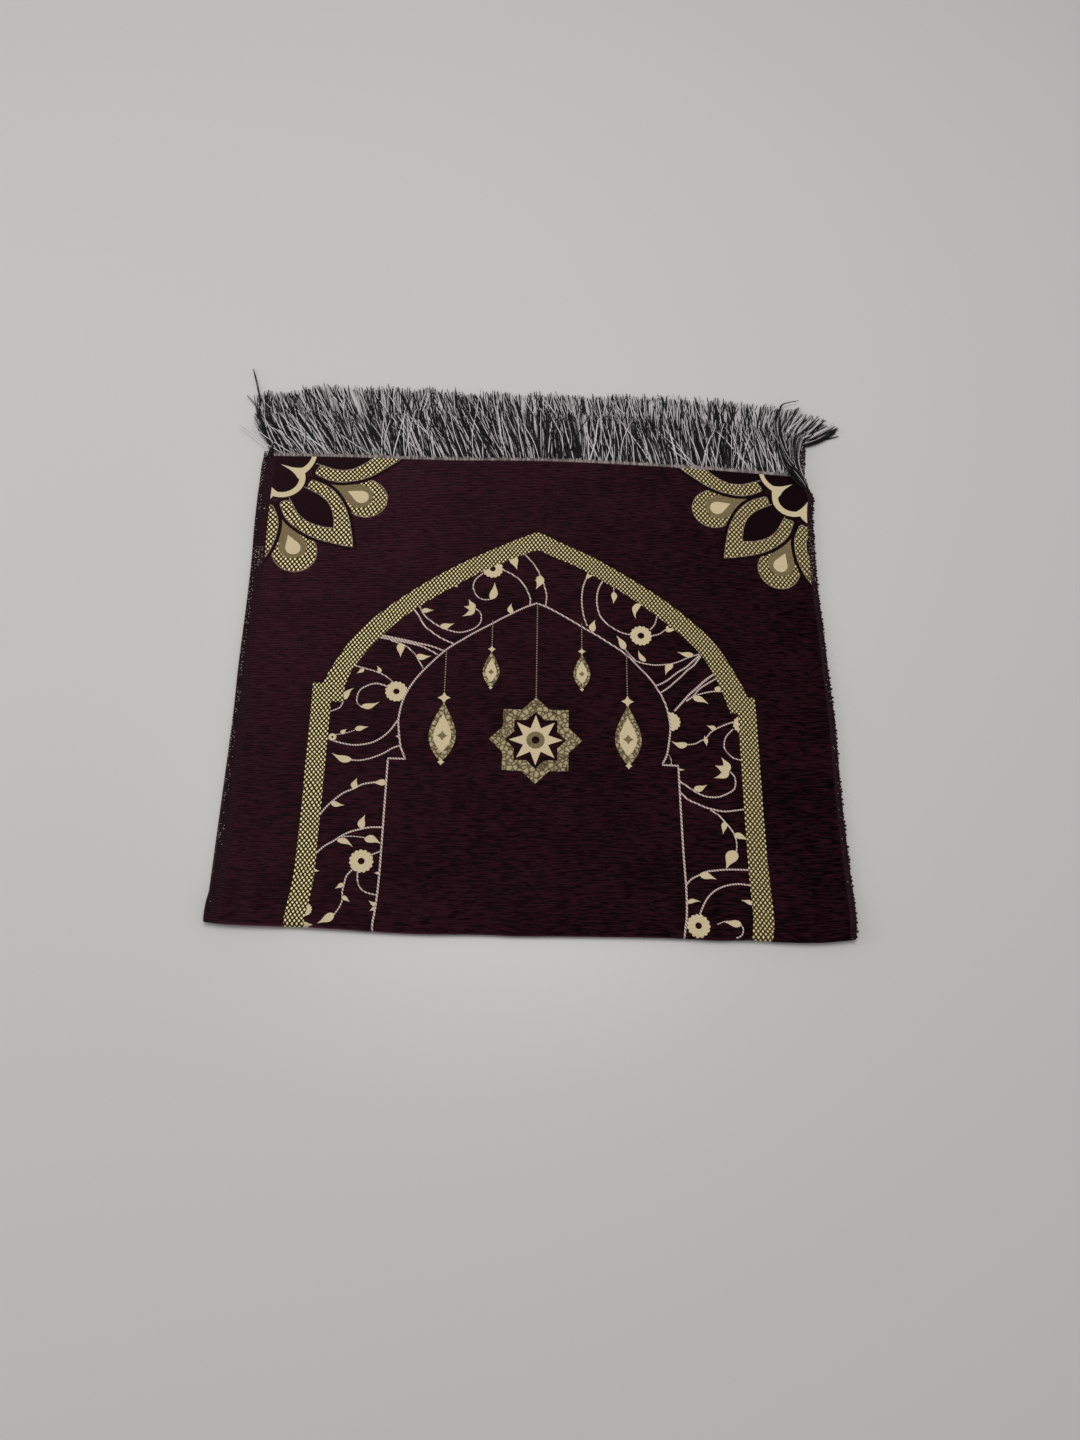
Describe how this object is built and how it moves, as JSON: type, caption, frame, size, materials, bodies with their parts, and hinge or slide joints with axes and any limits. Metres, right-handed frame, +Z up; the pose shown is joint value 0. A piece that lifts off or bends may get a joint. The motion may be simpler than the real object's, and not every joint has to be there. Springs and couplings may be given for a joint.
{
  "type": "fringed prayer rug, folded in half",
  "caption": "Chenille prayer rug with an arch design and a yarn fringe at each end, folded once across its length and lying flat.",
  "frame": {"origin": "on the floor, at the middle of the rug's flat underside", "axes": "+Z up out of the folded rug, +Y from the fold towards the fringed ends, +X to the right when seen from the fold"},
  "size_m": [0.7441, 0.7126, 0.0109],
  "materials": {
    "woven_cloth": "dark aubergine chenille pile with a gold and cream woven design",
    "fringe_yarn": "twisted pale grey and black yarns on a ribbed greyish mauve tape"
  },
  "bodies": {
    "root": {"rug_cloth": "woven_cloth", "fringe_upper": "fringe_yarn", "fringe_lower": "fringe_yarn"}
  },
  "joints": []
}
